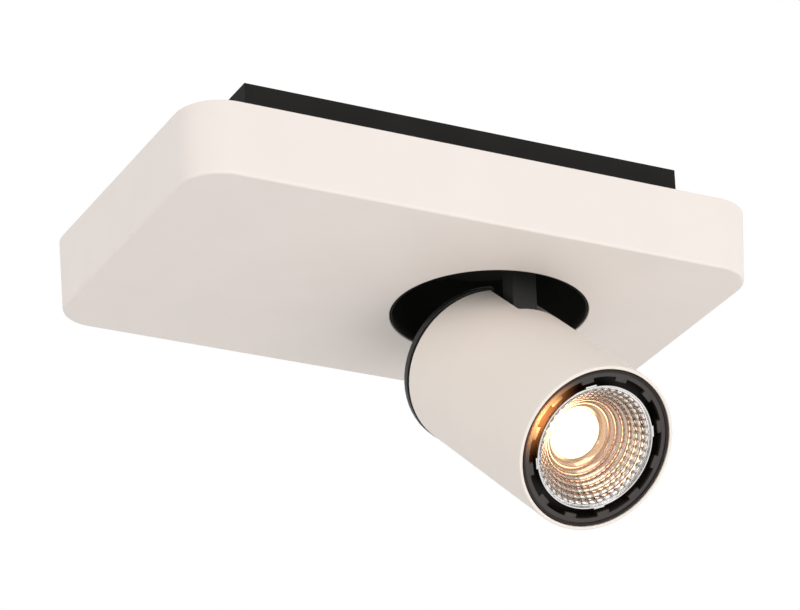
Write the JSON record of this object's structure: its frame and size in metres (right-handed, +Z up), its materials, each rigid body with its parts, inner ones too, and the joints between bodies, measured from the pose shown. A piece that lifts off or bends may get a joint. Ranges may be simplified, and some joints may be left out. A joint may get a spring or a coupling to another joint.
{
  "type": "ceiling spotlight",
  "caption": "Surface mounted ceiling spotlight: flat rounded canopy on a black chassis, with one cylindrical LED lamp head that swivels and tilts on an arm.",
  "frame": {"origin": "middle of the chassis's ceiling face", "axes": "+Z up into the ceiling, +X along the canopy towards the lamp, -Y towards the canopy side that the lamp is aimed over"},
  "size_m": [0.2328, 0.1537, 0.1489],
  "materials": {
    "cream_paint": "satin cream powder coat",
    "shell_paint": "satin cream powder coat",
    "black_paint": "fine textured matt black powder coat",
    "cup_paint": "matt black paint",
    "arm_paint": "satin black paint",
    "cap_paint": "satin black paint",
    "zinc_steel": "zinc plated steel",
    "spring_steel": "spring steel",
    "black_screw": "black oxide steel",
    "brass": "bare brass",
    "white_nylon": "natural nylon",
    "black_rubber": "soft black rubber",
    "black_plastic": "matt black plastic",
    "ring_plastic": "matt black plastic",
    "white_plastic": "white flame resistant plastic",
    "board_green": "glass epoxy circuit board",
    "board_white": "white ceramic LED board",
    "grey_pad": "silicone thermal pad",
    "aluminium": "extruded aluminium",
    "bright_reflector": "bright faceted aluminium reflector",
    "clear_lens": "clear glass",
    "led_glow": "lit warm white LED surface"
  },
  "bodies": {
    "housing": {"chassis": "black_paint", "canopy": "cream_paint", "canopy_catches": "zinc_steel", "canopy_springs": "spring_steel", "spring_rivets": "zinc_steel", "recess_cup": "cup_paint", "cup_standoffs": "zinc_steel", "cup_screws": "black_screw", "stop_pin": "black_screw", "swivel_bush": "white_nylon", "thrust_washer": "white_nylon", "entry_grommet": "black_rubber", "cord_clamp": "black_plastic", "cord_clamp_screws": "zinc_steel", "terminal_block": "white_nylon", "terminal_screws": "brass", "terminal_fixing_screw": "zinc_steel", "earth_washer": "brass", "earth_screw": "brass", "driver_case": "white_plastic", "driver_lid": "white_plastic", "driver_board": "board_green", "driver_screws": "zinc_steel"},
    "swivel": {"turntable": "cup_paint", "swivel_stem": "zinc_steel", "spring_washer": "zinc_steel", "swivel_nut": "zinc_steel", "lock_nut": "zinc_steel", "arm": "arm_paint", "arm_screws": "black_screw"},
    "head": {"lamp_shell": "shell_paint", "rear_cap": "cap_paint", "cap_screws": "black_screw", "heat_sink": "aluminium", "hinge_bracket": "zinc_steel", "bracket_screws": "zinc_steel", "pivot_screw": "black_screw", "pivot_nut": "zinc_steel", "friction_washers": "white_nylon", "thermal_pad": "grey_pad", "led_board": "board_white", "led_emitter": "led_glow", "led_holder": "white_plastic", "led_holder_screws": "zinc_steel", "optic_carrier": "black_plastic", "reflector": "bright_reflector", "front_lens": "clear_lens", "front_ring": "ring_plastic"}
  },
  "joints": [
    {"name": "pan", "type": "hinge", "parent": "housing", "child": "swivel", "pos_m": [0.0366, 0, -0.0165], "axis": [0, 0, 1], "range_deg": [-180, 165]},
    {"name": "tilt", "type": "hinge", "parent": "swivel", "child": "head", "pos_m": [0.03924, -0.02003, -0.0621], "axis": [-0.9914, -0.1305, 0], "range_deg": [-49.5, 40.5]}
  ]
}
